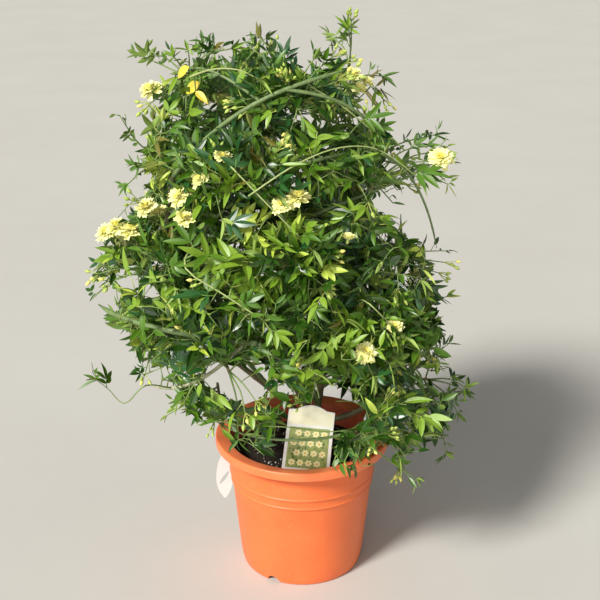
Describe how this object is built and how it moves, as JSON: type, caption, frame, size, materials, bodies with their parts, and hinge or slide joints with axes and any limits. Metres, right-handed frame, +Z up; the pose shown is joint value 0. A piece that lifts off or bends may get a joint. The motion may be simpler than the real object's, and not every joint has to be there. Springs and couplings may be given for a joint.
{
  "type": "potted climbing rose bush",
  "caption": "Climbing rose bush with pale yellow double blossoms, wound round itself in a terracotta-coloured plastic nursery pot filled with soil.",
  "frame": {"origin": "middle of the pot's flat underside, on the surface it stands on", "axes": "+Z up, -Y towards the front with the label card, +X to the right of the picture"},
  "size_m": [0.3859, 0.3044, 0.5787],
  "materials": {
    "pot_plastic": "satin moulded terracotta-coloured plastic",
    "potting_soil": "dark crumbly potting mix with white perlite",
    "label_plastic": "thin white plastic label",
    "bark": "rough grey-brown bark",
    "cane": "smooth grey-green cane",
    "foliage": "glossy dark green leaves",
    "blossom": "soft pale yellow petals"
  },
  "bodies": {
    "root": {"back_left_arch": "cane", "back_left_cane": "cane", "back_low_hoop": "cane", "back_low_left_arm": "cane", "back_low_right_arm": "cane", "back_right_arch": "cane", "back_right_cane": "cane", "centre_cane": "cane", "diagonal_fall": "cane", "foliage_lower_1": "foliage", "foliage_lower_2": "foliage", "foliage_lower_3": "foliage", "foliage_lower_4": "foliage", "foliage_lower_5": "foliage", "foliage_lower_6": "foliage", "foliage_middle_1": "foliage", "foliage_middle_2": "foliage", "foliage_middle_3": "foliage", "foliage_middle_4": "foliage", "foliage_middle_5": "foliage", "foliage_skirt_1": "foliage", "foliage_skirt_2": "foliage", "foliage_skirt_3": "foliage", "foliage_skirt_4": "foliage", "foliage_skirt_5": "foliage", "foliage_top_1": "foliage", "foliage_top_2": "foliage", "foliage_top_3": "foliage", "foliage_top_4": "foliage", "foliage_upper_1": "foliage", "foliage_upper_2": "foliage", "foliage_upper_3": "foliage", "foliage_upper_4": "foliage", "foliage_upper_5": "foliage", "front_arch": "cane", "front_arch_fall": "cane", "front_riser": "cane", "hang_tag": "label_plastic", "label_card": "label_plastic", "left_cane": "cane", "low_left_arm": "cane", "low_left_hoop": "cane", "pot": "pot_plastic", "pot_front_cane": "cane", "right_cane": "cane", "right_fall": "cane", "right_low_cane": "cane", "right_reach": "cane", "soil": "potting_soil", "top_loop": "cane", "trunk": "bark", "twin_cane": "cane", "upper_hoop": "cane", "upper_hoop_fall": "cane"}
  },
  "joints": []
}
